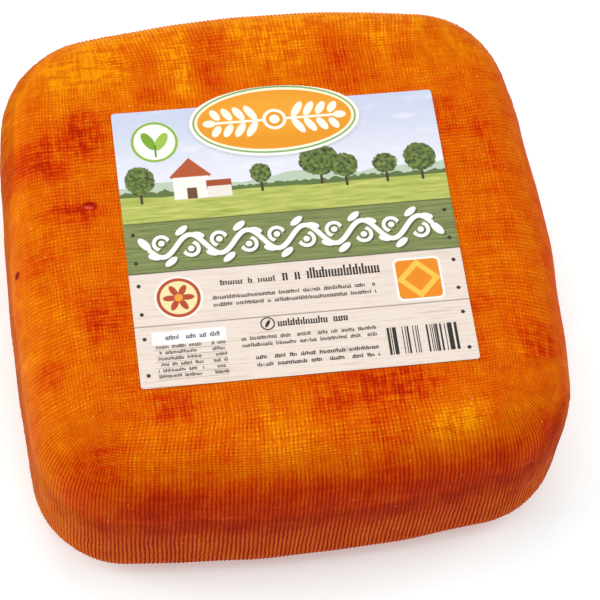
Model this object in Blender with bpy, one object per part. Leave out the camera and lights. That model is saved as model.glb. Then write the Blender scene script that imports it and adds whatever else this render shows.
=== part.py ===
"""A whole mahon cheese: a square block with a cloth-marked rind, and the paper label that lies on its top face.

Metres, +Z up. The block stands on the floor, with its middle over the origin. Its front side faces -Y.
"""
import math

import bmesh
import bpy
from mathutils import Vector

MM = 0.001

# The block, as a square before its sides bow out
SIDE = 194 * MM
HEIGHT = 73.7 * MM

# Going round anticlockwise from above: the right, back, left and front sides, and the corner after each side
SIDE_BOWS = (3.5 * MM, 5.0 * MM, 2.3 * MM, 4.1 * MM)
CORNER_RADII = (38 * MM, 38 * MM, 33 * MM, 37 * MM)

# The edge of the block from its foot to its top face
FOOT_RADIUS = 13.3 * MM
FOOT_FLARE = 0.6 * MM
CREASE_HEIGHT = 45.6 * MM
ROLL_WIDTH = 22.1 * MM
ROLL_FULLNESS = 2.4
# The roll's curved length against the straight line between its ends
ROLL_CURVE = 1.15

# The rind's soft unevenness: how deep, how far apart from crest to crest, and where its waves start
SWELL_DEPTH = 0.35 * MM
SWELL_SPACING = 47 * MM
SWELL_STARTS = (0.7, 2.1, -0.4, 1.3)

# Faces along each edge of the cube that the block is shaped from
CUBE_FACES = 31

# The label
LABEL_WIDTH = 119.4 * MM
LABEL_LENGTH = 113 * MM
LABEL_THICKNESS = 0.4 * MM
LABEL_CORNER = 1.2 * MM
LABEL_CENTRE = (2.0 * MM, -4.5 * MM)
LABEL_TURN = math.radians(-0.9)
LABEL_GAP = 0.3 * MM
TAB_WIDTH = 63 * MM
TAB_LENGTH = 27 * MM
TAB_RISE = 7 * MM

RIND_COLOUR = (0.72, 0.13, 0.01)
RIND_ROUGHNESS = 0.45
PAPER_COLOUR = (0.78, 0.72, 0.62)
PAPER_ROUGHNESS = 0.5


def outline_point(lap, inset):
    """A point of the block's outline from above. A lap runs from 0 at the front right corner to 4 there again."""
    side = min(int(lap), 3)
    along = lap - side
    before, after = CORNER_RADII[side - 1], CORNER_RADII[side]
    straight = SIDE - before - after
    tilt = math.atan2(4 * SIDE_BOWS[side], straight)
    arc = math.pi / 4 - tilt
    lengths = (before * arc, straight, after * arc)
    reach = along * sum(lengths)
    middle_before = Vector((SIDE / 2 - before, before - SIDE / 2))
    middle_after = Vector((SIDE / 2 - after, SIDE / 2 - after))

    if reach < lengths[0]:
        turn = -math.pi / 4 + reach / before
        point = middle_before + (before - inset) * Vector((math.cos(turn), math.sin(turn)))
    elif reach > lengths[0] + lengths[1]:
        turn = tilt + (reach - lengths[0] - lengths[1]) / after
        point = middle_after + (after - inset) * Vector((math.cos(turn), math.sin(turn)))
    else:
        start = middle_before + (before - inset) * Vector((math.cos(tilt), -math.sin(tilt)))
        end = middle_after + (after - inset) * Vector((math.cos(tilt), math.sin(tilt)))
        share = (reach - lengths[0]) / straight
        crown = SIDE / 2 + SIDE_BOWS[side] - inset - (start.x + end.x) / 2
        point = start.lerp(end, share) + Vector((4 * crown * share * (1 - share), 0))

    quarter = side * math.pi / 2
    return Vector((
        point.x * math.cos(quarter) - point.y * math.sin(quarter),
        point.x * math.sin(quarter) + point.y * math.cos(quarter),
    ))


def edge_profile(share):
    """How far in from the outline, and how high, the edge is: share 0 at its foot and 1 where the top face starts."""
    roll_height = HEIGHT - CREASE_HEIGHT
    wall = CREASE_HEIGHT - FOOT_RADIUS
    foot_length = FOOT_RADIUS * math.pi / 2
    roll_length = math.hypot(ROLL_WIDTH, roll_height) * ROLL_CURVE
    reach = share * (foot_length + wall + roll_length)

    if reach < foot_length:
        turn = reach / FOOT_RADIUS
        return FOOT_RADIUS * (1 - math.sin(turn)) - FOOT_FLARE, FOOT_RADIUS * (1 - math.cos(turn))
    if reach < foot_length + wall:
        rise = reach - foot_length
        return -FOOT_FLARE * (1 - rise / wall), FOOT_RADIUS + rise
    turn = min((reach - foot_length - wall) / roll_length, 1) * math.pi / 2
    power = 2 / ROLL_FULLNESS
    across = ROLL_WIDTH * (1 - max(math.cos(turn), 0) ** power)
    return across, CREASE_HEIGHT + roll_height * math.sin(turn) ** power


def cube_to_block(corner):
    """Move a point of the cube from -1 to 1 to its place on the block."""
    ring = max(abs(corner.x), abs(corner.y))
    if ring < 1e-6:
        return Vector((0, 0, HEIGHT if corner.z > 0 else 0))
    x, y = corner.x / ring, corner.y / ring
    if x > 0.99999 and y < 0.99999:
        lap = (1 + y) / 2
    elif y > 0.99999 and x > -0.99999:
        lap = 1 + (1 - x) / 2
    elif x < -0.99999 and y > -0.99999:
        lap = 2 + (1 - y) / 2
    else:
        lap = 3 + (1 + x) / 2
    inset, height = edge_profile((corner.z + 1) / 2)
    spot = outline_point(lap, inset) * ring
    return Vector((spot.x, spot.y, height))


def swell(point):
    """The slow rise and fall of the rind by a few tenths of a millimetre."""
    wave = math.tau / SWELL_SPACING
    first, second, third, fourth = SWELL_STARTS
    broad = math.sin(wave * point.x + first) * math.sin(0.8 * wave * point.y + second)
    along_sides = math.sin(1.7 * wave * point.x + third) + math.sin(1.5 * wave * point.y + fourth)
    return SWELL_DEPTH * (broad + 0.5 * along_sides * math.cos(0.5 * wave * point.z))


def finish(item, collection, name, colour, roughness):
    """Name the object, give it its own material and put it in the cheese's collection."""
    item.name = name
    item.data.name = name
    collection.objects.link(item)
    material = bpy.data.materials.new(name)
    material.use_nodes = True
    shader = material.node_tree.nodes["Principled BSDF"]
    shader.inputs["Base Color"].default_value = (*colour, 1)
    shader.inputs["Roughness"].default_value = roughness
    shader.inputs["Metallic"].default_value = 0
    item.data.materials.append(material)


def make_cheese(collection):
    """The block: a cube cut into small squares, drawn out to the cheese's form, then made a little uneven."""
    mesh = bmesh.new()
    bmesh.ops.create_cube(mesh, size=2)
    bmesh.ops.subdivide_edges(mesh, edges=mesh.edges, cuts=CUBE_FACES - 1, use_grid_fill=True)
    for vertex in mesh.verts:
        vertex.co = cube_to_block(vertex.co)
    mesh.normal_update()

    # The foot stays flat, and so does the top face, which the label lies on
    for vertex in mesh.verts:
        above_foot = min(vertex.co.z / FOOT_RADIUS, 1)
        outward = Vector((vertex.normal.x, vertex.normal.y, 0))
        vertex.co += outward * swell(vertex.co) * above_foot

    # The sides bow by different amounts, so the block is moved to stand with its middle over the origin
    for axis in (0, 1):
        places = [vertex.co[axis] for vertex in mesh.verts]
        middle = (min(places) + max(places)) / 2
        for vertex in mesh.verts:
            vertex.co[axis] -= middle

    data = bpy.data.meshes.new("cheese")
    mesh.to_mesh(data)
    mesh.free()
    data.shade_smooth()
    finish(bpy.data.objects.new("cheese", data), collection, "cheese", RIND_COLOUR, RIND_ROUGHNESS)


def label_outline():
    """The label's cut edge: a rectangle with small round corners, and an oval tab that stands over its far side."""
    points = []
    for turn, (x, y) in enumerate(((1, -1), (1, 1), (-1, 1), (-1, -1))):
        if turn == 2:
            points.extend(tab_outline())
        middle_x = x * (LABEL_WIDTH / 2 - LABEL_CORNER)
        middle_y = y * (LABEL_LENGTH / 2 - LABEL_CORNER)
        for step in range(5):
            angle = (turn - 1 + step / 4) * math.pi / 2
            points.append((middle_x + LABEL_CORNER * math.cos(angle), middle_y + LABEL_CORNER * math.sin(angle)))
    return points


def tab_outline(steps=24):
    """The oval from where it leaves the label's far edge on the right to where it meets it again on the left."""
    middle = LABEL_LENGTH / 2 + TAB_RISE - TAB_LENGTH / 2
    first = math.asin((LABEL_LENGTH / 2 - middle) / (TAB_LENGTH / 2))
    points = []
    for step in range(steps + 1):
        angle = first + (math.pi - 2 * first) * step / steps
        points.append((TAB_WIDTH / 2 * math.cos(angle), middle + TAB_LENGTH / 2 * math.sin(angle)))
    return points


def make_label(collection):
    """The label: a flat outline filled and given the thickness of its paper."""
    curve = bpy.data.curves.new("label", "CURVE")
    curve.dimensions = "2D"
    curve.fill_mode = "BOTH"
    curve.extrude = LABEL_THICKNESS / 2
    outline = label_outline()
    spline = curve.splines.new("POLY")
    spline.points.add(len(outline) - 1)
    for point, (x, y) in zip(spline.points, outline):
        point.co = (x, y, 0, 1)
    spline.use_cyclic_u = True
    label = bpy.data.objects.new("label", curve)
    label.location = (*LABEL_CENTRE, HEIGHT + LABEL_GAP + LABEL_THICKNESS / 2)
    label.rotation_euler.z = LABEL_TURN
    finish(label, collection, "label", PAPER_COLOUR, PAPER_ROUGHNESS)


for old in list(bpy.data.objects):
    bpy.data.objects.remove(old)
parts = bpy.data.collections.new("mahon_cheese")
bpy.context.scene.collection.children.link(parts)
make_cheese(parts)
make_label(parts)
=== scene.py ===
"""A whole mahon cheese: its cloth-marked rind and its printed paper label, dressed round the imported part."""
import math

import bmesh
import bpy
from mathutils import Matrix, Vector, noise


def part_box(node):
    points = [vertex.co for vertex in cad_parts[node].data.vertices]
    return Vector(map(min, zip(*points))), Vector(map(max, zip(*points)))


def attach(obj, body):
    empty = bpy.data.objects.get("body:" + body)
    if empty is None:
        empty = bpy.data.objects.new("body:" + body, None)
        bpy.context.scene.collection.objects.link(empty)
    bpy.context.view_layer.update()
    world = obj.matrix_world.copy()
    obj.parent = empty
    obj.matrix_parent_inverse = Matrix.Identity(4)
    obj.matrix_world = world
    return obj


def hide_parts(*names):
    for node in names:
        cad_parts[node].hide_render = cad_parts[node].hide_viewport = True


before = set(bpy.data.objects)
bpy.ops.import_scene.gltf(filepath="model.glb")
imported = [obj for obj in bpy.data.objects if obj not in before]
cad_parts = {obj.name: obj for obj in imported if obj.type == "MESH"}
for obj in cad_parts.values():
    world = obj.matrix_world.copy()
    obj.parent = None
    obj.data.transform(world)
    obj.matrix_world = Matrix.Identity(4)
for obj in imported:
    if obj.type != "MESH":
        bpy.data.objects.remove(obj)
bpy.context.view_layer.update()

# The rind: the outside of one whole cheese. The curd is pressed in a cloth inside a square mould, which
# rounds its corners and prints every thread in it, and it is rubbed with oil and paprika while it ripens.
MM = 0.001

# The block's form, as in the solid: its sides and corners, then its edge from the foot to the top face
SIDE = 194 * MM
SIDE_BOWS = (3.5 * MM, 5.0 * MM, 2.3 * MM, 4.1 * MM)
CORNER_RADII = (38 * MM, 38 * MM, 33 * MM, 37 * MM)
FOOT_RADIUS = 13.3 * MM
FOOT_FLARE = 0.6 * MM
CREASE_HEIGHT = 45.6 * MM
ROLL_WIDTH = 22.1 * MM
ROLL_FULLNESS = 2.4
ROLL_CURVE = 1.15
SWELL_DEPTH = 0.35 * MM
SWELL_SPACING = 47 * MM
SWELL_STARTS = (0.7, 2.1, -0.4, 1.3)
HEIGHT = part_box("cheese")[1].z
BLOCK_MIDDLE = (-0.69 * MM, -0.5 * MM)

# The cloth: its threads, how many of them leave each side over the edge, and how deep they press
THREAD = 1.42 * MM
THREADS_A_SIDE = 119
RIB_DEPTH = 0.23 * MM
WEAVE_DEPTH = 0.18 * MM
# How many threads they lie out of line, and how far apart those waves are. The seed makes the drift the same
# in every run, as vector noise starts from the clock without one.
SWAYS = ((0.35, 19 * MM), (0.1, 6 * MM))
DRIFT = 0.28
DRIFT_SPACING = 15 * MM
DRIFT_SEED = 7

# Faces across each rib, and rows of faces up the edge
STEPS_A_RIB = 4
EDGE_ROWS = 36

# The full ribs climb over the crease at the front right corner and along the back: where, as a lap, and by
# how much. They are faint on the rest of the roll, and deeper on the back of it.
RIBBED_CORNER = 0.04
RIBBED_BACK = 1.6
CORNER_CLIMB = 17 * MM
BACK_CLIMB = 22 * MM
RIB_FADE = 3 * MM
FAINT_RIB = 0.3
EXTRA_BACK_RIB = 0.4

# The lip under the crease: how far it stands out, and how far down the wall it reaches
CREASE_LIP = 0.4 * MM
LIP_REACH = 22 * MM

# A pressed-in pit on the top face, left of the label: where, how big, how turned and how deep
PIT = Vector((-68.4 * MM, 15.2 * MM, HEIGHT))
PIT_HALF = (2.7 * MM, 1.8 * MM)
PIT_TURN = math.radians(-8)
PIT_DEPTH = 1.1 * MM
# A nick in the roll on the left, painted only: a dark spot of painted shade, with no dent in the shape
PAINTED_NICK_SHADE = Vector((-96.8 * MM, -4.6 * MM, 63 * MM))

ROLL_HEIGHT = HEIGHT - CREASE_HEIGHT
FOOT_LENGTH = FOOT_RADIUS * math.pi / 2
WALL_LENGTH = CREASE_HEIGHT - FOOT_RADIUS
ROLL_LENGTH = math.hypot(ROLL_WIDTH, ROLL_HEIGHT) * ROLL_CURVE
EDGE_LENGTH = FOOT_LENGTH + WALL_LENGTH + ROLL_LENGTH
HALF_TOP = SIDE / 2 - ROLL_WIDTH
HALF_FOOT = SIDE / 2 - FOOT_RADIUS
CREASE_REACH = FOOT_LENGTH + WALL_LENGTH


def outline_point(lap, inset):
    """A point of the block's outline from above. A lap runs from 0 at the front right corner to 4 there."""
    side = int(lap) % 4
    before, after = CORNER_RADII[side - 1], CORNER_RADII[side]
    straight = SIDE - before - after
    tilt = math.atan2(4 * SIDE_BOWS[side], straight)
    arc = math.pi / 4 - tilt
    lengths = (before * arc, straight, after * arc)
    reach = (lap - int(lap)) * sum(lengths)
    middle_before = Vector((SIDE / 2 - before, before - SIDE / 2))
    middle_after = Vector((SIDE / 2 - after, SIDE / 2 - after))

    if reach < lengths[0]:
        turn = -math.pi / 4 + reach / before
        point = middle_before + (before - inset) * Vector((math.cos(turn), math.sin(turn)))
    elif reach > lengths[0] + lengths[1]:
        turn = tilt + (reach - lengths[0] - lengths[1]) / after
        point = middle_after + (after - inset) * Vector((math.cos(turn), math.sin(turn)))
    else:
        start = middle_before + (before - inset) * Vector((math.cos(tilt), -math.sin(tilt)))
        end = middle_after + (after - inset) * Vector((math.cos(tilt), math.sin(tilt)))
        share = (reach - lengths[0]) / straight
        crown = SIDE / 2 + SIDE_BOWS[side] - inset - (start.x + end.x) / 2
        point = start.lerp(end, share) + Vector((4 * crown * share * (1 - share), 0))
    return turned(point, side)


def turned(point, quarters):
    """A point turned about the block's middle by quarter turns."""
    angle = quarters * math.pi / 2
    return Vector((
        point.x * math.cos(angle) - point.y * math.sin(angle),
        point.x * math.sin(angle) + point.y * math.cos(angle),
    ))


def edge_profile(share):
    """How far in from the outline, and how high, the edge is: share 0 at its foot and 1 at the top face."""
    reach = share * EDGE_LENGTH
    if reach < FOOT_LENGTH:
        turn = reach / FOOT_RADIUS
        return FOOT_RADIUS * (1 - math.sin(turn)) - FOOT_FLARE, FOOT_RADIUS * (1 - math.cos(turn))
    if reach < FOOT_LENGTH + WALL_LENGTH:
        rise = reach - FOOT_LENGTH
        return -FOOT_FLARE * (1 - rise / WALL_LENGTH), FOOT_RADIUS + rise
    turn = min((reach - FOOT_LENGTH - WALL_LENGTH) / ROLL_LENGTH, 1) * math.pi / 2
    power = 2 / ROLL_FULLNESS
    across = ROLL_WIDTH * (1 - max(math.cos(turn), 0) ** power)
    return across, CREASE_HEIGHT + ROLL_HEIGHT * math.sin(turn) ** power


def side_of(cube):
    """Which quarter of the cube, seen from above, a point is in: 0 right, 1 back, 2 left, 3 front."""
    if abs(cube.x) >= abs(cube.y):
        return 0 if cube.x > 0 else 2
    return 1 if cube.y > 0 else 3


def along_side(cube, side):
    """How far along its side a point of the cube lies, from 0 to 1 going anticlockwise."""
    ring = max(abs(cube.x), abs(cube.y), 1e-6)
    return 0.5 + turned(cube.xy, -side).y / ring / 2


def smooth_step(value, low, high):
    """0 below low, 1 above high, and an even slope between them."""
    share = min(max((value - low) / (high - low), 0), 1)
    return share * share * (3 - 2 * share)


def swell(point):
    """The slow rise and fall of the rind by a few tenths of a millimetre."""
    wave = math.tau / SWELL_SPACING
    first, second, third, fourth = SWELL_STARTS
    broad = math.sin(wave * point.x + first) * math.sin(0.8 * wave * point.y + second)
    along_sides = math.sin(1.7 * wave * point.x + third) + math.sin(1.5 * wave * point.y + fourth)
    return SWELL_DEPTH * (broad + 0.5 * along_sides * math.cos(0.5 * wave * point.z))


def block_point(cube):
    """The place on the block of a point of the cube, with the cloth's threads drawn a little out of line."""
    side = side_of(cube)
    ring = max(abs(cube.x), abs(cube.y))
    inset, height = edge_profile((cube.z + 1) / 2)
    lap = side + min(along_side(cube, side), 0.999999)
    spot = outline_point(lap, inset) * ring
    at = Vector((*spot, height))
    sway = sum(threads * noise.noise(at / spacing) for threads, spacing in SWAYS) / THREADS_A_SIDE
    spot = outline_point((lap + sway * ring) % 4, inset) * ring
    return Vector((*spot, height))


rind_mesh = bmesh.new()
bmesh.ops.create_cube(rind_mesh, size=2)
level_edges = [edge for edge in rind_mesh.edges if edge.verts[0].co.z == edge.verts[1].co.z]
bmesh.ops.subdivide_edges(rind_mesh, edges=level_edges, cuts=THREADS_A_SIDE - 1, use_grid_fill=True)


def on_rim(vertex):
    """Whether a point of the cube lies on the border of its top or its foot."""
    return max(abs(vertex.co.x), abs(vertex.co.y)) > 0.99999


def is_level(edge):
    """Whether an edge of the cube runs level."""
    return abs(edge.verts[0].co.z - edge.verts[1].co.z) < 1e-4


rim_edges = [edge for edge in rind_mesh.edges if is_level(edge) and all(map(on_rim, edge.verts))]
bmesh.ops.subdivide_edges(rind_mesh, edges=rim_edges, cuts=STEPS_A_RIB - 1, use_grid_fill=True)
upright_edges = [edge for edge in rind_mesh.edges if not is_level(edge)]
bmesh.ops.subdivide_edges(rind_mesh, edges=upright_edges, cuts=EDGE_ROWS - 1, use_grid_fill=True)


def in_pit(point):
    """How deep in the pit a point of the top face is, from 0 outside it to 1 at its middle."""
    offset = Matrix.Rotation(-PIT_TURN, 2) @ (point - PIT).xy
    apart = math.hypot(offset.x / PIT_HALF[0], offset.y / PIT_HALF[1])
    return 1 - smooth_step(apart, 0.35, 1.25)


top_faces = [face for face in rind_mesh.faces if face.calc_center_median().z > 0.9999]
pit_faces = [face for face in top_faces if in_pit(block_point(face.calc_center_median())) > 0]
pit_edges = dict.fromkeys(edge for face in pit_faces for edge in face.edges)
bmesh.ops.subdivide_edges(rind_mesh, edges=list(pit_edges), cuts=3, use_grid_fill=True)


def at_corner(lap):
    """How near a lap is to the ribbed corner at the front right, from 0 to 1."""
    apart = min(abs(lap - RIBBED_CORNER), abs(lap - 4 - RIBBED_CORNER))
    return math.exp(-((apart / 0.09) ** 2))


def at_back(lap):
    """How near a lap is to the back side, from 0 to 1."""
    apart = max(abs(lap - RIBBED_BACK) - 0.5, 0)
    return math.exp(-((apart / 0.4) ** 2))


def ribbing(reach, lap):
    """How strong the upright ribs are: full on the wall, faint on the roll, none on the top face."""
    climb = max(CORNER_CLIMB * at_corner(lap), BACK_CLIMB * at_back(lap))
    top = CREASE_REACH + climb + RIB_FADE * noise.noise(Vector((lap * 9, 0, 3)))
    on_wall = 1 - smooth_step(reach, top - RIB_FADE, top + RIB_FADE)
    on_roll = FAINT_RIB * (1 - smooth_step(reach, CREASE_REACH, EDGE_LENGTH))
    return max(on_wall, on_roll) * smooth_step(reach, 0, FOOT_LENGTH)


def lip(reach, lap):
    """How far the wall stands out just under the crease, where the mould's lid met its band."""
    rise = 1 - smooth_step(reach, CREASE_REACH - 1.5 * MM, CREASE_REACH + 2 * MM)
    fall = smooth_step(reach, CREASE_REACH - LIP_REACH, CREASE_REACH - 2 * MM)
    return CREASE_LIP * rise * fall * (0.7 + 0.8 * noise.noise(Vector((lap * 6, 4, 0))))


cube_points = [vertex.co.copy() for vertex in rind_mesh.verts]
for vertex in rind_mesh.verts:
    vertex.co = block_point(vertex.co)
rind_mesh.normal_update()

upright = rind_mesh.verts.layers.float.new("upright")
for vertex, cube in zip(rind_mesh.verts, cube_points):
    side = side_of(cube)
    reach = (cube.z + 1) / 2 * EDGE_LENGTH
    lap = side + along_side(cube, side)
    outward = Vector((vertex.normal.x, vertex.normal.y, 0))
    above_foot = min(vertex.co.z / FOOT_RADIUS, 1)
    vertex.co += outward * swell(vertex.co) * above_foot
    if max(abs(cube.x), abs(cube.y)) < 0.9999:
        continue
    strength = ribbing(reach, lap)
    above_crease = smooth_step(reach, CREASE_REACH - 4 * MM, CREASE_REACH)
    strength *= 1 + EXTRA_BACK_RIB * at_back(lap) * above_crease
    uneven = 0.75 + 0.9 * noise.noise(Vector((lap * THREADS_A_SIDE * 0.7, reach / (25 * MM), 7)))
    rib = RIB_DEPTH * strength * uneven * math.cos(math.tau * along_side(cube, side) * THREADS_A_SIDE)
    vertex.co += vertex.normal * (rib + lip(reach, lap % 4))
    vertex[upright] = min(strength, 1)

for vertex in rind_mesh.verts:
    vertex.co.x += BLOCK_MIDDLE[0]
    vertex.co.y += BLOCK_MIDDLE[1]
    if vertex.co.z > HEIGHT - 1e-6:
        vertex.co.z -= PIT_DEPTH * in_pit(vertex.co)

# Where a thread lies, in threads counted from the middle of each side and from the middle of the top. The
# threads run straight over the top and fan out round the corners. The turn from one to the other starts and
# ends this far from the top face's border, and under the foot they run straight again.
FAN_START = -9 * MM
FAN_END = 11 * MM
FOOT_FAN = 20 * MM
cloth = rind_mesh.loops.layers.uv.new("cloth")
noise.seed_set(DRIFT_SEED)
drifts = [noise.noise_vector(vertex.co / DRIFT_SPACING) * DRIFT for vertex in rind_mesh.verts]
for face in rind_mesh.faces:
    middle = Vector((0, 0, 0))
    for vertex in face.verts:
        middle += cube_points[vertex.index]
    side = side_of(middle)
    for loop in face.loops:
        cube = cube_points[loop.vert.index]
        ring = max(abs(cube.x), abs(cube.y))
        reach = (1 - (cube.z + 1) / 2) * EDGE_LENGTH
        local = turned(loop.vert.co.xy, -side)
        around = (along_side(cube, side) - 0.5) * THREADS_A_SIDE
        if cube.z > 0.99999:
            down = -(1 - ring) * HALF_TOP
        elif cube.z < -0.99999:
            down = reach + (1 - ring) * HALF_FOOT
        else:
            down = reach
        fan = smooth_step(down, FAN_START, FAN_END)
        if cube.z < -0.99999:
            fan = 1 - smooth_step(down - EDGE_LENGTH, 0, FOOT_FAN)
            straight_down = HALF_TOP + EDGE_LENGTH + HALF_FOOT - local.x
        else:
            straight_down = local.x
        drift = drifts[loop.vert.index]
        across = (1 - fan) * (local.y / THREAD + drift.x) + fan * around
        down_threads = (1 - fan) * straight_down / THREAD + fan * (HALF_TOP + down) / THREAD + drift.y
        if cube.z < -0.99999:
            down_threads = straight_down / THREAD + drift.y
        loop[cloth].uv = (across, down_threads)

paprika = rind_mesh.verts.layers.float.new("paprika")
below_crease = rind_mesh.verts.layers.float.new("below_crease")

# How thick the paprika lies on the whole, and by how much the stains on the top, with the painted light and
# shade among them, change that
BASE_PAPRIKA = 0.5
SPOT_STRENGTH = 0.3
# It lies thicker down the front and back walls and thinner on the left, and the rind is redder on the right.
# The thicker paprika down the front, under the roll, is partly painted shade there. Along the back of the top
# face and over the back roll the rind is painted lighter, as painted light.
FRONT_PAPRIKA_AND_SHADE = 0.41
RIGHT_REDDENING = 0.08
BACK_WALL_PAPRIKA = 0.14
PAINTED_BACK_LIGHT = -0.2
LEFT_PAPRIKA = -0.12
# The stains, with painted light and shade among them, thick above 0 and thin below 0: middle and half size in
# millimetres, and how much
STAINS_AND_PAINTED_LIGHT = (
    ((-42, 70), (6, 14), 0.7), ((-18, 76), (7, 16), 1.0), ((32, 70), (10, 14), 0.9), ((55, 70), (6, 9), 0.5),
    ((-67, 46), (7, 10), 1.3), ((-88, 37), (13, 9), 1.2), ((-75, 13), (10, 5), 0.8), ((-88, -4), (7, 7), 0.6),
    ((-69, -27), (8, 7), 0.8), ((-69, -36), (6, 4), 0.7), ((-88, -50), (6, 6), 0.7),
    ((-48, -68), (10, 6), 0.7), ((12, -68), (13, 8), 0.8), ((33, -69), (13, 9), 1.0),
    ((-78, -84), (9, 6), 0.7), ((25, -86), (13, 5), 0.5), ((83, -57), (7, 7), 1.1), ((66, 40), (5, 8), 0.6),
    ((78, 28), (5, 11), 0.6), ((65, -38), (5, 6), 0.5), ((-58, 75), (11, 14), -0.6),
    ((-29, 72), (5, 14), -0.7), ((-75, 72), (8, 8), -0.5), ((47, -84), (13, 8), -0.9),
    ((-12, -82), (12, 13), -0.6), ((8, 76), (6, 10), -0.3), ((-79, -45), (5, 16), -0.25),
    ((-70, -55), (9, 8), 0.1), ((70, -28), (7, 7), -0.3), ((-60, -86), (8, 8), -0.1),
    # At (81, -85) a thick one is painted shade, where a fold at the front right corner shades the rind, and at
    # (0, 94) a thin one along the back edge of the top face is painted light
    ((47, 75), (5, 8), -0.3), ((81, -85), (5, 4), 0.6), ((0, 94), (80, 7), -0.5),
)


def stain_and_painted_light(point):
    """How thick the paprika lies at a point, beyond the average, with the painted light and shade among the
    stains.
    """
    amount = 0
    for (x, y), (half_across, half_along), strength in STAINS_AND_PAINTED_LIGHT:
        apart = (abs(point.x / MM - x) / half_across) ** 3 + (abs(point.y / MM - y) / half_along) ** 3
        if apart < 6:
            amount += strength * math.exp(-apart)
    return amount


for vertex, cube in zip(rind_mesh.verts, cube_points):
    side = side_of(cube)
    lap = side + along_side(cube, side)
    reach = (cube.z + 1) / 2 * EDGE_LENGTH
    from_front = min(abs(lap - 3.5), abs(lap + 0.5))
    # The front band: thicker paprika, and partly painted shade under the roll
    band = 0.03 + FRONT_PAPRIKA_AND_SHADE * (1 - smooth_step(from_front, 0.25, 0.66))
    band += RIGHT_REDDENING * smooth_step(vertex.co.x, 60 * MM, 95 * MM)
    band += 0.07 * noise.noise(Vector((lap * 4, 9, 2)))
    under_roll = smooth_step(EDGE_LENGTH - reach, 8 * MM, 34 * MM)
    # The band thins towards the floor, so the lower wall is lighter
    near_floor = smooth_step(CREASE_REACH - reach, -3 * MM, 24 * MM)
    vertex[paprika] = BASE_PAPRIKA + band * under_roll * (1 - 0.35 * near_floor)
    down_wall = smooth_step(EDGE_LENGTH - reach, 26 * MM, 48 * MM)
    # Down the back wall thicker paprika; on the back of the top face and the roll a lighter colour, as painted
    # light
    on_back = BACK_WALL_PAPRIKA * down_wall + PAINTED_BACK_LIGHT * (1 - down_wall)
    vertex[paprika] += on_back * smooth_step(vertex.co.y, 45 * MM, 85 * MM)
    vertex[paprika] += LEFT_PAPRIKA * smooth_step(-vertex.co.x, 80 * MM, 94 * MM)
    if vertex.co.z > CREASE_HEIGHT:
        vertex[paprika] += SPOT_STRENGTH * stain_and_painted_light(vertex.co)
    # How far down the wall below the crease a point lies: it sets the pale crests, with their painted
    # highlight, and the depth of the painted shade
    vertex[below_crease] = smooth_step(CREASE_REACH - reach, 2 * MM, 26 * MM)

rind_data = bpy.data.meshes.new("rind")
rind_mesh.to_mesh(rind_data)
rind_mesh.free()
rind_data.shade_smooth()
rind = bpy.data.objects.new("rind", rind_data)
bpy.context.scene.collection.objects.link(rind)


def linear(colour):
    """The linear colour of an sRGB hex value."""
    parts = [int(colour[place:place + 2], 16) / 255 for place in (1, 3, 5)]
    return (*(part / 12.92 if part < 0.04045 else ((part + 0.055) / 1.055) ** 2.4 for part in parts), 1)


def add(tree, kind, inputs, out=0, **settings):
    """Add a node with its settings, set or link its inputs by name or number, and give back an output."""
    node = tree.nodes.new(kind)
    for name, value in settings.items():
        setattr(node, name, value)
    for name, value in inputs.items():
        if isinstance(value, bpy.types.NodeSocket):
            tree.links.new(value, node.inputs[name])
        else:
            node.inputs[name].default_value = value
    return node.outputs[out]


# Oil-rubbed cheese rind, pressed in cloth: waxy and half matt, orange where the paprika lies thin and red
# where it lies thick
rind_material = bpy.data.materials.new("oiled_rind")
rind_material.use_nodes = True
tree = rind_material.node_tree
shader = tree.nodes["Principled BSDF"]
place = add(tree, "ShaderNodeTexCoord", {}, out="Object")
threads = add(tree, "ShaderNodeUVMap", {}, uv_map="cloth")


def maths(tree, kind, *values):
    """One step of arithmetic on numbers and sockets."""
    return add(tree, "ShaderNodeMath", dict(enumerate(values)), operation=kind)


def ramp_to(tree, value, start, end, low=0.0, high=1.0):
    """A soft slope from low at the start to high at the end, flat outside. The ends may be sockets too."""
    ends = {"Value": value, "From Min": start, "From Max": end, "To Min": low, "To Max": high}
    return add(tree, "ShaderNodeMapRange", ends, interpolation_type="SMOOTHSTEP", clamp=False)


def mottle(tree, place, size, detail=3.0, roughness=0.55):
    """Noise whose spots have a size in millimetres along X, Y and Z."""
    at = add(tree, "ShaderNodeMapping", {"Vector": place, "Scale": [1 / (step * MM) for step in size]})
    settings = {"Vector": at, "Scale": 1.0, "Detail": detail, "Roughness": roughness}
    return add(tree, "ShaderNodeTexNoise", settings)


# The cloth's print: the threads that run out over the edge show most, and those that cross them lie closer
# together, by this much. Threads wander by part of a thread across and along.
CROSS_THREADS = 1.3
WANDER = (0.45, 0.6, 0)
is_upright = add(tree, "ShaderNodeAttribute", {}, out="Fac", attribute_name="upright")
wander = add(tree, "ShaderNodeTexNoise", {"Vector": threads, "Scale": 0.42, "Detail": 2.0}, out="Color")
wander = add(tree, "ShaderNodeVectorMath", {0: wander, 1: (0.5, 0.5, 0.5)}, operation="SUBTRACT")
stretch = add(tree, "ShaderNodeVectorMath", {0: threads, 1: (1, CROSS_THREADS, 0)}, operation="MULTIPLY")
stitches = add(tree, "ShaderNodeVectorMath", {0: wander, 1: WANDER, 2: stretch}, operation="MULTIPLY_ADD")
across_ribs, along_ribs = (
    add(tree, "ShaderNodeVectorMath", {0: stitches, 1: axis}, out="Value", operation="DOT_PRODUCT")
    for axis in ((1, 0, 0), (0, 1, 0))
)
favour = add(tree, "ShaderNodeTexNoise", {"Vector": threads, "Scale": 0.07, "Detail": 1.0})
on_roll = ramp_to(tree, is_upright, 0, 0.3)
rib_depth = ramp_to(tree, on_roll, 0, 1, ramp_to(tree, favour, 0.3, 0.6, 0.6, 1.1), 1.0)
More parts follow.
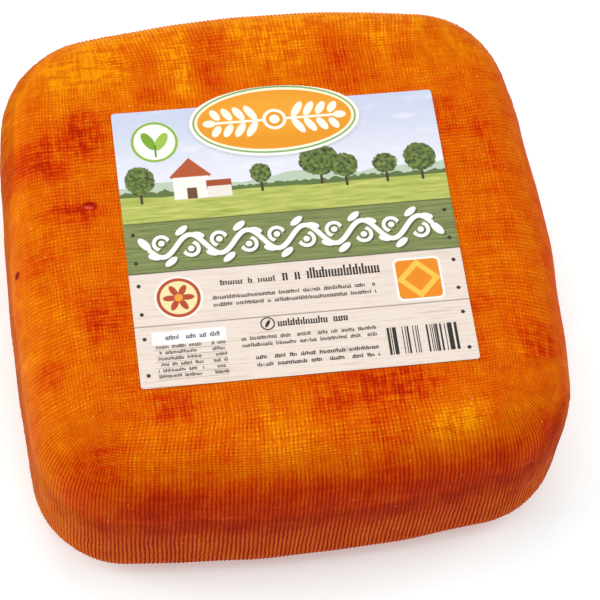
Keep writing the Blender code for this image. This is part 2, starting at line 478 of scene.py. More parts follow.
cross_depth = ramp_to(tree, on_roll, 0, 1, ramp_to(tree, favour, 0.35, 0.7, 1.0, 0.6), 0.15)
ribs = ramp_to(tree, maths(tree, "PINGPONG", across_ribs, 0.5), 0.17, 0.5, 1.0, -1.0)
crossing = ramp_to(tree, maths(tree, "PINGPONG", along_ribs, 0.5), 0.1, 0.5, 1.0, -1.0)
knots = add(tree, "ShaderNodeTexNoise", {"Vector": threads, "Scale": 0.55, "Detail": 3.0})
print_depth = ramp_to(tree, knots, 0.32, 0.68, ramp_to(tree, on_roll, 0, 1, 0.3, 0.75), 1.2)
from_middle_line = add(tree, "ShaderNodeSeparateXYZ", {0: place}, out=1)
deeper_in_front = ramp_to(tree, from_middle_line, -55 * MM, -90 * MM, 1.0, 1.3)
rib_depth = maths(tree, "MULTIPLY", rib_depth, deeper_in_front)
weave = maths(tree, "MULTIPLY", ribs, rib_depth)
weave = maths(tree, "MULTIPLY_ADD", crossing, cross_depth, weave)
weave = maths(tree, "MULTIPLY", weave, print_depth)

# Each crossing of two threads leaves a dot of its own depth, and the curd's grain lies over all
knot = add(tree, "ShaderNodeVectorMath", {0: stitches, 1: (0.5, 0.5, 0)}, operation="ADD")
knot = add(tree, "ShaderNodeVectorMath", {0: knot}, operation="FLOOR")
knot = add(tree, "ShaderNodeTexWhiteNoise", {"Vector": knot}, out="Value", noise_dimensions="2D")
dot = maths(tree, "MULTIPLY", ramp_to(tree, ribs, -1, 1), ramp_to(tree, crossing, -1, 1))
dot = maths(tree, "MULTIPLY", dot, ramp_to(tree, knot, 0, 1, -0.8, 0.9))
dot = maths(tree, "MULTIPLY", dot, ramp_to(tree, on_roll, 0, 1, 1.0, 0.25))
weave = maths(tree, "ADD", weave, dot)
grain = mottle(tree, place, (0.5, 0.5, 0.5), 1.0)
relief = maths(tree, "MULTIPLY_ADD", maths(tree, "SUBTRACT", grain, 0.5), 1.5, weave)

# Oil and paprika: rubbed on by hand along the threads, thick in the grooves and thin on the crests, where the
# thinner paprika is partly a painted highlight
rubbed = maths(tree, "ADD", mottle(tree, place, (17, 6, 9)), mottle(tree, place, (5, 18, 14)))
rubbed = maths(tree, "MULTIPLY_ADD", mottle(tree, place, (3, 3, 3), 2.0), 0.5, rubbed)
amount = add(tree, "ShaderNodeAttribute", {}, out="Fac", attribute_name="paprika")
smears = [mottle(tree, place, size, 4.0) for size in ((9, 1.6, 5), (1.6, 9, 5))]
along_threads = maths(tree, "ADD", smears[0], smears[1])
patchy = ramp_to(tree, along_threads, 0.8, 1.2, 0.3, 1.7)
patchy = ramp_to(tree, on_roll, 0, 0.5, patchy, 1.0)
amount = maths(tree, "MULTIPLY_ADD", maths(tree, "SUBTRACT", amount, BASE_PAPRIKA), patchy, BASE_PAPRIKA)
amount = maths(tree, "MULTIPLY_ADD", maths(tree, "SUBTRACT", rubbed, 1.25), 0.5, amount)
for scale in ((0.85, 0.09, 1), (0.09, 0.85, 1)):
    streak = add(tree, "ShaderNodeMapping", {"Vector": threads, "Scale": scale})
    streak = add(tree, "ShaderNodeTexNoise", {"Vector": streak, "Scale": 1.0, "Detail": 2.0})
    amount = maths(tree, "MULTIPLY_ADD", maths(tree, "SUBTRACT", streak, 0.5), 0.26, amount)
# Less paprika on the crests: partly the rub, and partly a painted highlight that makes them lighter and
# yellower
amount = maths(tree, "MULTIPLY_ADD", relief, -0.1, amount)
colours = add(tree, "ShaderNodeValToRGB", {"Fac": amount})
ramp = colours.node.color_ramp
ramp.elements[0].position = 0.0
ramp.elements[0].color = linear("#F39506")
ramp.elements[1].position = 1.0
ramp.elements[1].color = linear("#B02402")
for position, colour in ((0.25, "#E27403"), (0.5, "#D75C02"), (0.75, "#CC3A02")):
    ramp.elements.new(position).color = linear(colour)

# Down the wall towards the floor the ribs' crests are paler: partly rubbed pale, and partly a painted
# highlight and a painted reflection of the pale floor. On the top face a faint painted highlight pales the
# crests too.
below_crease_share = add(tree, "ShaderNodeAttribute", {}, out="Fac", attribute_name="below_crease")
worn_and_lit_crests = maths(tree, "MULTIPLY", ramp_to(tree, relief, 0.1, 1.0), ramp_to(tree, below_crease_share, 0, 1, 0.04, 0.5))
colours = add(tree, "ShaderNodeMix", {0: worn_and_lit_crests, 6: colours, 7: linear("#DE6C28")}, out=2, data_type="RGBA")
# Painted shade and highlight: the colour is darker in the grooves and lighter on the crests, more so down the
# wall, and the whole ribbed wall is also 17% darker
shade_depth = ramp_to(tree, below_crease_share, 0, 0.4, 0.052, 0.185)
shade = maths(tree, "MULTIPLY_ADD", relief, shade_depth, ramp_to(tree, is_upright, 0.2, 0.8, 1.0, 0.83))
colours = add(tree, "ShaderNodeVectorMath", {0: colours, 3: shade}, operation="SCALE")

# Painted glints: small scattered light spots that stand in for highlights. Then the pit, painted dark red over
# it and its edge as painted shade, with its red floor painted lighter and pinker as a painted highlight, and
# the nick, a dark spot of painted shade with no dent in the shape under it
GLINT_SPACING = 3.6 * MM
PIT_FLOOR_HIGHLIGHT = PIT + Vector((-0.5, -0.2, 0)) * MM
painted_glints = add(tree, "ShaderNodeTexVoronoi", {"Vector": place, "Scale": 1 / GLINT_SPACING}, out="Distance")
painted_glints = maths(tree, "MULTIPLY", ramp_to(tree, painted_glints, 0.12, 0.07, 0, 0.6), ramp_to(tree, knots, 0.55, 0.62))
colours = add(tree, "ShaderNodeMix", {0: painted_glints, 6: colours, 7: linear("#F4B070")}, out=2, data_type="RGBA")
# Painted shade over the pit, a painted highlight on its red floor, and the nick's painted shade
for middle, half, turn, shade in (
    (PIT, (2.9 * MM, 2.0 * MM, 2.5 * MM), PIT_TURN, "#B01E0A"),
    (PIT_FLOOR_HIGHLIGHT, (1.9 * MM, 0.9 * MM, 2.5 * MM), PIT_TURN, "#E2553C"),
    (PAINTED_NICK_SHADE, (1.2 * MM, 1.5 * MM, 2.5 * MM), 0, "#8E1605"),
):
    spot = add(tree, "ShaderNodeMapping", {
        "Vector": place, "Location": middle, "Rotation": (0, 0, turn), "Scale": half,
    }, vector_type="TEXTURE")
    apart = add(tree, "ShaderNodeVectorMath", {0: spot}, out="Value", operation="LENGTH")
    cover = ramp_to(tree, apart, 1.15, 0.75)
    colours = add(tree, "ShaderNodeMix", {0: cover, 6: colours, 7: linear(shade)}, out=2, data_type="RGBA")
tree.links.new(colours, shader.inputs["Base Color"])
bump = add(tree, "ShaderNodeBump", {"Height": relief, "Strength": 1.0, "Distance": WEAVE_DEPTH / 2})
tree.links.new(bump, shader.inputs["Normal"])
shader.inputs["Roughness"].default_value = 0.5
shader.inputs["IOR"].default_value = 1.45
shader.inputs["Specular IOR Level"].default_value = 0.012

rind_data.materials.append(rind_material)
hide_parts("cheese")
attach(rind, "root")

# The label: one sheet of coated paper, printed in colours and cut with a die, so that an oval tab stands over
# its far edge. It lies on the oiled top face, which holds it, and here and there its edge lifts a little.
LABEL_WIDTH = 119.4 * MM
LABEL_LENGTH = 113 * MM
LABEL_CORNER = 1.2 * MM
LABEL_CENTRE = (2.0 * MM, -4.5 * MM)
LABEL_TURN = math.radians(-0.9)
TAB_WIDTH = 63 * MM
TAB_LENGTH = 27 * MM
TAB_RISE = 7 * MM
TAB_STEPS = 4
PAPER_THICKNESS = 0.2 * MM
PAPER_GAP = 0.2 * MM
# How far the sheet ripples, how far its edge lifts, how far in that lift reaches, and how wide a ripple is
PAPER_WAVE = 0.05 * MM
EDGE_LIFT = 0.2 * MM
LIFT_REACH = 9 * MM
WAVE_WIDTH = 22 * MM

tab_middle = LABEL_LENGTH / 2 + TAB_RISE - TAB_LENGTH / 2
tab_chord = TAB_WIDTH / 2 * math.sqrt(1 - ((LABEL_LENGTH / 2 - tab_middle) / (TAB_LENGTH / 2)) ** 2)

sheet = bmesh.new()
bmesh.ops.create_grid(sheet, x_segments=60, y_segments=56, size=0.5)
bmesh.ops.scale(sheet, vec=(LABEL_WIDTH, LABEL_LENGTH, 1), verts=sheet.verts)
for cut in (-tab_chord, tab_chord):
    pieces = sheet.verts[:] + sheet.edges[:] + sheet.faces[:]
    bmesh.ops.bisect_plane(sheet, geom=pieces, plane_co=(cut, 0, 0), plane_no=(1, 0, 0))


def under_tab(vertex):
    """Whether a point of the label's far edge is where the tab grows from it."""
    return vertex.co.y > LABEL_LENGTH / 2 - 1e-6 and abs(vertex.co.x) < tab_chord + 1e-6


rim = [edge for edge in sheet.edges if under_tab(edge.verts[0]) and under_tab(edge.verts[1])]
for step in range(1, TAB_STEPS + 1):
    grown = bmesh.ops.extrude_edge_only(sheet, edges=rim)["geom"]
    rim = [item for item in grown if isinstance(item, bmesh.types.BMEdge)]
    for vertex in [item for item in grown if isinstance(item, bmesh.types.BMVert)]:
        oval = tab_middle + TAB_LENGTH / 2 * math.sqrt(max(1 - (vertex.co.x / (TAB_WIDTH / 2)) ** 2, 0))
        vertex.co.y = LABEL_LENGTH / 2 + (oval - LABEL_LENGTH / 2) * step / TAB_STEPS
bmesh.ops.remove_doubles(sheet, verts=sheet.verts, dist=1e-6)
outer = [vertex for vertex in sheet.verts if abs(vertex.co.x) > LABEL_WIDTH / 2 - 1e-6]
corners = [vertex for vertex in outer if len(vertex.link_faces) == 1]
bmesh.ops.bevel(
    sheet, geom=corners, offset=LABEL_CORNER, segments=4, profile=0.5, affect="VERTICES", material=-1,
)

for vertex in sheet.verts:
    spot = vertex.co / WAVE_WIDTH
    to_edge = min(LABEL_LENGTH / 2 + vertex.co.y, LABEL_WIDTH / 2 - abs(vertex.co.x))
    loose = max(noise.noise(spot * 1.3 + Vector((5, 2, 0))) + 0.3, 0)
    lift = EDGE_LIFT * (1 - smooth_step(to_edge, 0, LIFT_REACH)) * loose
    vertex.co.z = PAPER_WAVE * (noise.noise(spot) + 1) + lift
bmesh.ops.recalc_face_normals(sheet, faces=sheet.faces)
bmesh.ops.solidify(sheet, geom=sheet.faces[:], thickness=PAPER_THICKNESS)
bmesh.ops.recalc_face_normals(sheet, faces=sheet.faces)
lowest = min(vertex.co.z for vertex in sheet.verts)
bmesh.ops.rotate(sheet, cent=(0, 0, 0), matrix=Matrix.Rotation(LABEL_TURN, 3, "Z"), verts=sheet.verts)
bmesh.ops.translate(sheet, vec=(*LABEL_CENTRE, HEIGHT + PAPER_GAP - lowest), verts=sheet.verts)
for face in sheet.faces:
    face.material_index = 0 if abs(face.normal.z) > 0.5 else 1

label_data = bpy.data.meshes.new("printed_label")
sheet.to_mesh(label_data)
sheet.free()
printed_label = bpy.data.objects.new("printed_label", label_data)
bpy.context.scene.collection.objects.link(printed_label)

# Coated printing paper, offset printed: bright and even, with a faint satin gloss and slow ripples
print_material = bpy.data.materials.new("printed_coated_paper")
print_material.use_nodes = True
tree = print_material.node_tree
shader = tree.nodes["Principled BSDF"]
place = add(tree, "ShaderNodeTexCoord", {}, out="Object")
sheet_place = add(tree, "ShaderNodeMapping", {
    "Vector": place, "Location": (*LABEL_CENTRE, 0), "Rotation": (0, 0, LABEL_TURN), "Scale": (MM, MM, MM),
}, vector_type="TEXTURE")
page = add(tree, "ShaderNodeVectorMath", {0: sheet_place, 1: (1, 1, 0)}, operation="MULTIPLY")
across, along = (
    add(tree, "ShaderNodeVectorMath", {0: page, 1: axis}, out="Value", operation="DOT_PRODUCT")
    for axis in ((1, 0, 0), (0, 1, 0))
)
# From here the print's places and sizes are in millimetres, from the middle of the label. The edges of its
# shapes are this soft.
EDGE_BLUR = 0.12


def from_middle(tree, page, middle, turn):
    """The page as measured from a shape's middle, along the shape's own axes. The turn is in degrees."""
    turn = math.radians(turn)
    offset = add(tree, "ShaderNodeVectorMath", {0: page, 1: (*middle, 0)}, operation="SUBTRACT")
    axes = ((math.cos(turn), math.sin(turn), 0), (-math.sin(turn), math.cos(turn), 0))
    own = [
        add(tree, "ShaderNodeVectorMath", {0: offset, 1: axis}, out="Value", operation="DOT_PRODUCT")
        for axis in axes
    ]
    return add(tree, "ShaderNodeCombineXYZ", {0: own[0], 1: own[1]})


def oval(tree, page, middle, half, turn=0.0, ink=1.0, blur=EDGE_BLUR):
    """A mask that covers an oval. Its half sizes are in millimetres."""
    at = from_middle(tree, page, middle, turn)
    shrink = (1 / half[0], 1 / half[1], 0)
    at = add(tree, "ShaderNodeVectorMath", {0: at, 1: shrink}, operation="MULTIPLY")
    apart = add(tree, "ShaderNodeVectorMath", {0: at}, out="Value", operation="LENGTH")
    return ramp_to(tree, apart, 1 + blur / min(half), 1 - blur / min(half), 0, ink)


def panel(tree, page, middle, half, corner=0.0, turn=0.0, ink=1.0, blur=EDGE_BLUR):
    """A mask that covers a rectangle with round corners."""
    corner = max(corner, blur)
    at = from_middle(tree, page, middle, turn)
    at = add(tree, "ShaderNodeVectorMath", {0: at}, operation="ABSOLUTE")
    core = (half[0] - corner, half[1] - corner, 0)
    at = add(tree, "ShaderNodeVectorMath", {0: at, 1: core}, operation="SUBTRACT")
    at = add(tree, "ShaderNodeVectorMath", {0: at, 1: (0, 0, 0)}, operation="MAXIMUM")
    apart = add(tree, "ShaderNodeVectorMath", {0: at}, out="Value", operation="LENGTH")
    return ramp_to(tree, apart, corner + blur, corner - blur, 0, ink)


def streaks(tree, size, seed=0.0, detail=3.0, roughness=0.6):
    """Noise stretched to a size in millimetres across and along the label."""
    at = add(tree, "ShaderNodeMapping", {
        "Vector": sheet_place, "Location": (seed, seed, 0), "Scale": (1 / size[0], 1 / size[1], 0),
    })
    settings = {"Vector": at, "Scale": 1.0, "Detail": detail, "Roughness": roughness}
    return add(tree, "ShaderNodeTexNoise", settings)


def paint(tree, under, cover, colour):
    """Lay a colour over what is printed so far, where the mask covers it."""
    shade = colour if isinstance(colour, bpy.types.NodeSocket) else linear(colour)
    return add(tree, "ShaderNodeMix", {0: cover, 6: under, 7: shade}, out=2, data_type="RGBA")


def skyline(tree, level, rise, width, seed, blur=0.15):
    """A mask that covers what lies under a wavy line across the label."""
    wave = streaks(tree, (width, 1e6), seed, 2.0, 0.5)
    above = maths(tree, "SUBTRACT", along, maths(tree, "MULTIPLY_ADD", wave, rise * 2, level - rise))
    return ramp_to(tree, above, blur, -blur)


# The sky, pale and brighter towards the land, with soft clouds
sky = add(tree, "ShaderNodeValToRGB", {"Fac": ramp_to(tree, along, 18, 58)})
sky.node.color_ramp.elements[0].color = linear("#E6E6EF")
sky.node.color_ramp.elements[1].color = linear("#C6CEE4")
ink = paint(tree, sky, ramp_to(tree, streaks(tree, (24, 7), 3.1), 0.5, 0.7, 0, 0.5), "#F2F1F4")

# The land: far hills, a hedge, then meadows that roll towards the board
ink = paint(tree, ink, skyline(tree, 25.0, 5.0, 26, 1.7), "#B9C9B4")
ink = paint(tree, ink, skyline(tree, 22.0, 1.8, 2.6, 4.2), "#5F7340")
meadow = add(tree, "ShaderNodeValToRGB", {"Fac": streaks(tree, (14, 1.6), 1.3)})
meadow.node.color_ramp.elements[0].position = 0.3
meadow.node.color_ramp.elements[0].color = linear("#98A443")
meadow.node.color_ramp.elements[1].position = 0.7
meadow.node.color_ramp.elements[1].color = linear("#C9CE72")
ink = paint(tree, ink, skyline(tree, 20.0, 1.6, 30, 8.4), meadow)

# Round trees, and a white barn with a tiled roof and a shed. The crowns' edges stray by up to RAGGED, in
# bumps about as wide as LEAF.
LEAF = 1.5
RAGGED = 1.2
shifts = [streaks(tree, (LEAF, LEAF), seed) for seed in (6.1, 9.7)]
ragged = add(tree, "ShaderNodeCombineXYZ", {0: shifts[0], 1: shifts[1]})
ragged = add(tree, "ShaderNodeVectorMath", {
    0: ragged, 1: (2 * RAGGED, 2 * RAGGED, 0), 2: (-RAGGED, -RAGGED, 0),
}, operation="MULTIPLY_ADD")
ragged = add(tree, "ShaderNodeVectorMath", {0: ragged, 1: page}, operation="ADD")
leaves = add(tree, "ShaderNodeValToRGB", {"Fac": streaks(tree, (1.6, 1.6), 2.2)})
leaves.node.color_ramp.elements[0].position = 0.35
leaves.node.color_ramp.elements[0].color = linear("#2F3D22")
leaves.node.color_ramp.elements[1].position = 0.65
leaves.node.color_ramp.elements[1].color = linear("#7C8F48")
# Each crown's middle and half sizes
TREES = (
    (14, 30, 7.5, 6.5), (23, 27, 5.0, 5.0), (-8, 26.5, 4.0, 4.0),
    (38, 26.5, 4.6, 4.2), (51, 28, 6.0, 6.0), (-52, 27, 5.5, 6.0),
)
for x, y, half_width, half_height in TREES:
    ink = paint(tree, ink, panel(tree, page, (x, y - half_height - 1), (0.5, 2.8)), "#4A3B2A")
    ink = paint(tree, ink, oval(tree, ragged, (x, y), (half_width, half_height)), leaves)
ink = paint(tree, ink, panel(tree, page, (-33.5, 27.5), (5.4, 5.4), turn=45), "#B4562F")
ink = paint(tree, ink, panel(tree, page, (-33.5, 22.5), (6.6, 4.6)), "#F3EEE6")
ink = paint(tree, ink, panel(tree, page, (-33.5, 20.2), (1.8, 2.3)), "#6B4A33")
ink = paint(tree, ink, panel(tree, page, (-23.5, 23.2), (4.6, 1.9)), "#A34C2A")
ink = paint(tree, ink, panel(tree, page, (-23.5, 20.2), (4.4, 2.3)), "#E9E2D8")

# The painted board with its grain, and the scrubbed boards below it
board = add(tree, "ShaderNodeValToRGB", {"Fac": streaks(tree, (22, 0.5), 5.0, 4.0, 0.8)})
board.node.color_ramp.elements[0].position = 0.3
board.node.color_ramp.elements[0].color = linear("#4F5C34")
board.node.color_ramp.elements[1].position = 0.68
board.node.color_ramp.elements[1].color = linear("#97A264")
ink = paint(tree, ink, panel(tree, page, (0, -1.1), (62, 10.3)), board)
scrubbed = add(tree, "ShaderNodeValToRGB", {"Fac": streaks(tree, (20, 0.6), 9.0, 4.0, 0.7)})
scrubbed.node.color_ramp.elements[0].position = 0.28
scrubbed.node.color_ramp.elements[0].color = linear("#CDB9A8")
scrubbed.node.color_ramp.elements[1].position = 0.5
scrubbed.node.color_ramp.elements[1].color = linear("#E8DACE")
ink = paint(tree, ink, panel(tree, page, (0, -36.4), (62, 25)), scrubbed)
for seam, shade in ((9.2, "#4C4A33"), (-11.3, "#4A4636"), (-32.5, "#8D7B68")):
    ink = paint(tree, ink, panel(tree, page, (0, seam), (62, 0.22), blur=0.2, ink=0.85), shade)

# The vine: how long each wave of it is, how high it swings, and how far it runs from the middle
VINE_PERIOD = 20.8
VINE_SWING = 4.2
VINE_REACH = 52.0
VINE_MIDDLE = -1.1
SHADOW_OFFSET = (0.6, -0.7)


def scroll(tree, x, y):
    """A mask of a vine that winds along the board, with a curl, a bud and a leaf in each bend."""
    fold = maths(tree, "WRAP", x, VINE_PERIOD / 2, -VINE_PERIOD / 2)
    angle = maths(tree, "MULTIPLY", fold, math.tau / VINE_PERIOD)
    rise = maths(tree, "SUBTRACT", y, maths(tree, "MULTIPLY", maths(tree, "SINE", angle), VINE_SWING))
    slope = maths(tree, "MULTIPLY", maths(tree, "COSINE", angle), VINE_SWING * math.tau / VINE_PERIOD)
    steep = maths(tree, "SQRT", maths(tree, "MULTIPLY_ADD", slope, slope, 1.0))
    mask = ramp_to(tree, maths(tree, "ABSOLUTE", maths(tree, "DIVIDE", rise, steep)), 1.05, 0.8)
    cell = add(tree, "ShaderNodeCombineXYZ", {0: fold, 1: y})
    for side in (1, -1):
        middle = (VINE_PERIOD / 4 * side, -1.5 * side)
        from_curl = from_middle(tree, cell, middle, 0)
        apart = add(tree, "ShaderNodeVectorMath", {0: from_curl}, out="Value", operation="LENGTH")
        ring = ramp_to(tree, maths(tree, "ABSOLUTE", maths(tree, "SUBTRACT", apart, 2.7)), 0.8, 0.55)
        facing = add(tree, "ShaderNodeVectorMath", {
            0: from_curl, 1: (side, -side, 0),
        }, out="Value", operation="DOT_PRODUCT")
        mask = maths(tree, "MAXIMUM", mask, maths(tree, "MULTIPLY", ring, ramp_to(tree, facing, -1.8, -1.4)))
        mask = maths(tree, "MAXIMUM", mask, oval(tree, cell, middle, (1.15, 1.15)))
        for at, half, turn in (((2.4, 6.2), (2.7, 1.25), 38), ((8.3, 3.9), (2.3, 1.1), -20)):
            mask = maths(tree, "MAXIMUM", mask, oval(tree, cell, (at[0] * side, at[1] * side), half, turn))
    ends = ramp_to(tree, maths(tree, "ABSOLUTE", x), VINE_REACH + 0.2, VINE_REACH - 0.2)
    mask = maths(tree, "MULTIPLY", mask, ends)
    whole = add(tree, "ShaderNodeCombineXYZ", {0: x, 1: y})
    for side in (1, -1):
        tip = oval(tree, whole, ((VINE_REACH + 0.9) * side, -1.6 * side), (3.1, 1.5), -52)
        mask = maths(tree, "MAXIMUM", mask, tip)
    return mask


from_vine = maths(tree, "ADD", along, -VINE_MIDDLE)
shaded_across = maths(tree, "ADD", across, -SHADOW_OFFSET[0])
shaded_along = maths(tree, "ADD", from_vine, -SHADOW_OFFSET[1])
shadow = scroll(tree, shaded_across, shaded_along)
ink = paint(tree, ink, maths(tree, "MULTIPLY", shadow, 0.6), "#2F3B20")
ink = paint(tree, ink, scroll(tree, across, from_vine), "#FBFAF4")

# Nails in the boards, in a row down each side
NAIL = (0.75, 0.75)
for x in (-56.6, 56.6):
    for y in (4.6, -7.0, -16.2, -27.6, -37.4, -51.6):
        ink = paint(tree, ink, oval(tree, page, (x, y), NAIL), "#3B332B")


def chance(tree, value, seed):
    """An even draw from 0 to 1 that stays the same for the same whole number."""
    whole = maths(tree, "ADD", maths(tree, "FLOOR", value), seed)
    return add(tree, "ShaderNodeTexWhiteNoise", {"W": whole}, out="Value", noise_dimensions="1D")


def small_print(tree, middle, width, rows, pitch, height, seed, stroke=0.62):
    """A mask of rows of short strokes set in words: too small to read, and with no letters in it."""
    x = maths(tree, "SUBTRACT", across, middle[0])
    y = maths(tree, "SUBTRACT", along, middle[1] - (rows - 1) % 2 * pitch / 2)
    row = maths(tree, "ROUND", maths(tree, "DIVIDE", y, pitch))
    from_line = maths(tree, "SUBTRACT", y, maths(tree, "MULTIPLY", row, pitch))
    place = maths(tree, "MULTIPLY_ADD", row, 41.0, maths(tree, "DIVIDE", x, stroke))
    tall = ramp_to(tree, chance(tree, place, seed), 0.7, 0.72, height * 0.2, height * 0.5)
    upper = maths(tree, "MULTIPLY_ADD", tall, -1.0, from_line)
    lower = maths(tree, "MULTIPLY_ADD", from_line, -1.0, -height * 0.5)
    mask = ramp_to(tree, maths(tree, "MAXIMUM", upper, lower), 0.12, -0.12)
    from_stroke = maths(tree, "ABSOLUTE", maths(tree, "SUBTRACT", maths(tree, "FRACT", place), 0.5))
    uprights = maths(tree, "MULTIPLY", mask, ramp_to(tree, from_stroke, 0.42, 0.22))
    for level, other in ((0.14, 101.0), (-0.42, 203.0)):
        from_level = maths(tree, "ABSOLUTE", maths(tree, "SUBTRACT", from_line, level * height))
        bar = ramp_to(tree, from_level, 0.24, 0.1)
        link = ramp_to(tree, chance(tree, maths(tree, "ADD", place, 0.5), seed + other), 0.45, 0.47)
        uprights = maths(tree, "MAXIMUM", uprights, maths(tree, "MULTIPLY", bar, link))
    word = chance(tree, maths(tree, "DIVIDE", place, 2.0), seed + 500.5)
    mask = maths(tree, "MULTIPLY", uprights, ramp_to(tree, word, 0.16, 0.18))
    half_width = round(width / 2 / stroke) * stroke
    inside = panel(tree, page, middle, (half_width, pitch * (rows - 1) / 2 + height), blur=0.1)
    return maths(tree, "MULTIPLY", mask, inside)


# Rows of small print, and a plain mark beside one of them
ink = paint(tree, ink, small_print(tree, (-18, -17.4), 20, 1, 9, 2.2, 3.0, 0.9), "#4A423A")
ink = paint(tree, ink, small_print(tree, (12, -16.6), 36, 1, 9, 4.4, 9.0, 1.1), "#2C2620")
ink = paint(tree, ink, small_print(tree, (-2, -24.6), 58, 2, 2.9, 1.5, 11.0), "#544B42")
MARK = (-13, -35.4)
ink = paint(tree, ink, oval(tree, page, MARK, (2.6, 2.6)), "#2C2620")
ink = paint(tree, ink, oval(tree, page, MARK, (2.1, 2.1)), scrubbed)
ink = paint(tree, ink, oval(tree, page, MARK, (1.7, 0.6), 58), "#2C2620")
ink = paint(tree, ink, small_print(tree, (3, -35.4), 26, 1, 9, 2.8, 23.0, 0.9), "#2C2620")
ink = paint(tree, ink, small_print(tree, (1, -41.8), 48, 2, 2.6, 1.4, 37.0, 0.6), "#544B42")
ink = paint(tree, ink, small_print(tree, (3, -49.6), 44, 2, 2.9, 1.5, 51.0, 0.66), "#3E362F")

# A disc with a flower, and a tile with a diamond
FLOWER = (-43, -22)
PETALS = 6
for radius, shade in ((8.6, "#F4EFE2"), (7.8, "#B5472C"), (6.6, "#F2DFA6")):
    ink = paint(tree, ink, oval(tree, page, FLOWER, (radius, radius)), shade)
for petal in range(PETALS):
    angle = math.tau * petal / PETALS
    at = (FLOWER[0] + 3.1 * math.cos(angle), FLOWER[1] + 3.1 * math.sin(angle))
    ink = paint(tree, ink, oval(tree, page, at, (2.5, 1.15), math.degrees(angle)), "#B5472C")
ink = paint(tree, ink, oval(tree, page, FLOWER, (1.5, 1.5)), "#E9A23A")

TILE = (43, -22.6)
for half, corner, turn, shade in (
    (8.6, 2.2, 0, "#FBF7EE"), (7.8, 1.7, 0, "#E88A1A"), (5.6, 0.4, 45, "#F6C24A"), (3.6, 0.4, 45, "#E88A1A"),
):
    ink = paint(tree, ink, panel(tree, page, TILE, (half, half), corner, turn), shade)

# A ruled table under its white header, and a field of bars
TABLE_ROWS = 6
TABLE_PITCH = 2.3
ink = paint(tree, ink, panel(tree, page, (-41, -37.6), (13.0, 2.6), 0.3), "#F7F4F2")
ink = paint(tree, ink, small_print(tree, (-41, -37.4), 22, 1, 9, 1.8, 61.0, 0.6), "#4A4A5C")
for middle, width, seed in (((-45, -46.6), 16, 67.0), ((-31.0, -46.6), 5, 71.0)):
    column = small_print(tree, middle, width, TABLE_ROWS, TABLE_PITCH, 1.3, seed, 0.5)
    ink = paint(tree, ink, column, "#5B5249")
for row in range(TABLE_ROWS):
    line = panel(tree, page, (-41, -42.2 - TABLE_PITCH * row), (12.6, 0.1), blur=0.1, ink=0.6)
    ink = paint(tree, ink, line, "#5B5249")

BARS_A_MM = 2.9
stripe = chance(tree, maths(tree, "MULTIPLY", across, BARS_A_MM), 4.0)
bars = maths(tree, "MULTIPLY", ramp_to(tree, stripe, 0.46, 0.48), panel(tree, page, (41, -46.6), (12.6, 5.4)))
ink = paint(tree, ink, bars, "#2E2A26")

# The leaf emblem in the sky
LEAF_DISC = (-45, 43)
ink = paint(tree, ink, oval(tree, page, LEAF_DISC, (8.6, 8.6)), "#8DB63C")
ink = paint(tree, ink, oval(tree, page, LEAF_DISC, (7.6, 7.6)), "#F6F8EC")
ink = paint(tree, ink, oval(tree, page, (-47.2, 43.5), (4.2, 1.9), 118), "#7BA52F")
ink = paint(tree, ink, oval(tree, page, (-42.6, 43.0), (4.2, 1.9), 58), "#9CC148")
ink = paint(tree, ink, panel(tree, page, (-45, 39.2), (0.35, 2.6)), "#5E8422")

# The orange oval on the tab, with its border lines and two leafy sprigs that meet in a ring
PLATE = (0, 48.9)
PLATE_HALF = (31.5, 15.6)
CREAM = "#FFF8E4"
ORANGE = "#E69620"
ink = paint(tree, ink, oval(tree, page, (0, PLATE[1] - 0.7), PLATE_HALF, ink=0.35, blur=1.0), "#6A7048")
for border, shade in ((0, "#FFFBEF"), (1.1, "#7FA865"), (1.9, "#FFF6D8"), (2.9, ORANGE)):
    ink = paint(tree, ink, oval(tree, page, PLATE, (PLATE_HALF[0] - border, PLATE_HALF[1] - border)), shade)
ink = paint(tree, ink, oval(tree, page, (0, PLATE[1] + 2.6), (24, 8), ink=0.35, blur=4.0), "#F9B53C")
for radius, shade in ((4.4, CREAM), (3.2, ORANGE), (1.9, CREAM)):
    ink = paint(tree, ink, oval(tree, page, PLATE, (radius, radius)), shade)

LEAVES = 4
LEAF_STEP = 4.4
for side in (1, -1):
    ink = paint(tree, ink, panel(tree, page, (side * 14, PLATE[1]), (9.6, 0.5)), CREAM)
    ink = paint(tree, ink, oval(tree, page, (side * 24.2, PLATE[1]), (2.4, 1.5)), CREAM)
    for step in range(LEAVES):
        x = side * (8.6 + LEAF_STEP * step)
        for rise in (1, -1):
            leaf = oval(tree, page, (x, PLATE[1] + rise * 3.5), (3.7 - 0.35 * step, 1.45), side * rise * 58)
            ink = paint(tree, ink, leaf, CREAM)

tree.links.new(ink, shader.inputs["Base Color"])
ripple = streaks(tree, (9, 9), 4.0, 2.0)
bump = add(tree, "ShaderNodeBump", {"Height": ripple, "Strength": 0.5, "Distance": 0.12 * MM})
tree.links.new(bump, shader.inputs["Normal"])
shader.inputs["Roughness"].default_value = 0.5
shader.inputs["IOR"].default_value = 1.5
shader.inputs["Specular IOR Level"].default_value = 0.25

# The cut edge of the sheet shows the bare paper
edge_material = bpy.data.materials.new("cut_paper_edge")
edge_material.use_nodes = True
tree = edge_material.node_tree
shader = tree.nodes["Principled BSDF"]
place = add(tree, "ShaderNodeTexCoord", {}, out="Object")
fibres = add(tree, "ShaderNodeTexNoise", {"Vector": place, "Scale": 1 / (0.6 * MM), "Detail": 2.0})
colours = add(tree, "ShaderNodeValToRGB", {"Fac": fibres})
colours.node.color_ramp.elements[0].color = linear("#D9D2C6")
colours.node.color_ramp.elements[1].color = linear("#F4F1EA")
tree.links.new(colours, shader.inputs["Base Color"])
shader.inputs["Roughness"].default_value = 0.8

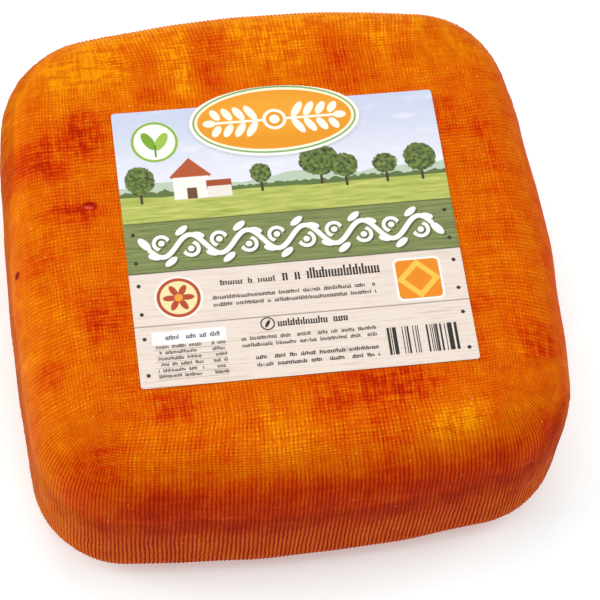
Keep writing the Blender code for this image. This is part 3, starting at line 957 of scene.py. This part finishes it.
label_data.materials.append(print_material)
label_data.materials.append(edge_material)
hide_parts("label")
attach(printed_label, "root")

# The floor: a plain pale sweep that the cheese stands on. It is matt, and glows a little of itself, which
# keeps it as pale as a cut-out picture's background.
bpy.ops.mesh.primitive_plane_add(size=6)
floor = bpy.context.object
floor.name = "floor"
floor_material = bpy.data.materials.new("white_floor")
floor_material.use_nodes = True
shader = floor_material.node_tree.nodes["Principled BSDF"]
shader.inputs["Base Color"].default_value = linear("#E7EFEE")
shader.inputs["Roughness"].default_value = 0.9
shader.inputs["Emission Color"].default_value = linear("#F6FCFF")
shader.inputs["Emission Strength"].default_value = 0.3
floor.data.materials.append(floor_material)

# The light: five square soft boxes that face the cheese, the strongest on its left and above it, and a faint
# white surround. Each has a place and a size in metres, and a power in watts.
SOFT_BOXES = (
    ("top_light", (0, 0.05, 1.3), 1.0, 7.8),
    ("left_light", (-1.1, 0.1, 0.7), 0.8, 9.3),
    ("right_light", (1.1, 0.1, 0.7), 0.8, 6.5),
    ("back_light", (-0.1, 1.1, 0.6), 0.9, 5.5),
    ("front_light", (0, -1.0, 0.8), 0.8, 3.9),
)
LIT_POINT = Vector((0, 0, 0.05))
for name, place, size, power in SOFT_BOXES:
    lamp = bpy.data.objects.new(name, bpy.data.lights.new(name, "AREA"))
    lamp.data.shape = "SQUARE"
    lamp.data.size = size
    lamp.data.energy = power
    lamp.location = place
    lamp.rotation_euler = (LIT_POINT - Vector(place)).to_track_quat("-Z", "Y").to_euler()
    bpy.context.scene.collection.objects.link(lamp)
world = bpy.data.worlds.new("studio")
world.use_nodes = True
world.node_tree.nodes["Background"].inputs["Color"].default_value = linear("#FFFFFF")
world.node_tree.nodes["Background"].inputs["Strength"].default_value = 0.02
bpy.context.scene.world = world
bpy.context.scene.view_settings.view_transform = "Standard"

# The camera: above the front left, tipped a little, with a long lens. It looks at a point beside the block's
# middle.
LENS = 144.3
SENSOR_WIDTH = 36
TURN = math.radians(-14.68)
ELEVATION = math.radians(61.5)
TIP = math.radians(7.18)
DISTANCE = 897.8 * MM
AIM_RIGHT = 8.56 * MM
AIM_UP = -9.4 * MM
towards_front = -math.cos(TURN) * math.cos(ELEVATION)
back = Vector((math.sin(TURN) * math.cos(ELEVATION), towards_front, math.sin(ELEVATION)))
level = Vector((math.cos(TURN), math.sin(TURN), 0))
rise = back.cross(level)
right = level * math.cos(TIP) + rise * math.sin(TIP)
up = rise * math.cos(TIP) - level * math.sin(TIP)
camera = bpy.data.objects.new("camera", bpy.data.cameras.new("camera"))
camera.data.lens = LENS
camera.data.sensor_width = SENSOR_WIDTH
camera.data.clip_start = 0.05
bpy.context.scene.collection.objects.link(camera)
eye = Vector((*BLOCK_MIDDLE, HEIGHT / 2)) + right * AIM_RIGHT + up * AIM_UP + back * DISTANCE
camera.matrix_world = Matrix.Translation(eye) @ Matrix((right, up, back)).transposed().to_4x4()
bpy.context.scene.camera = camera
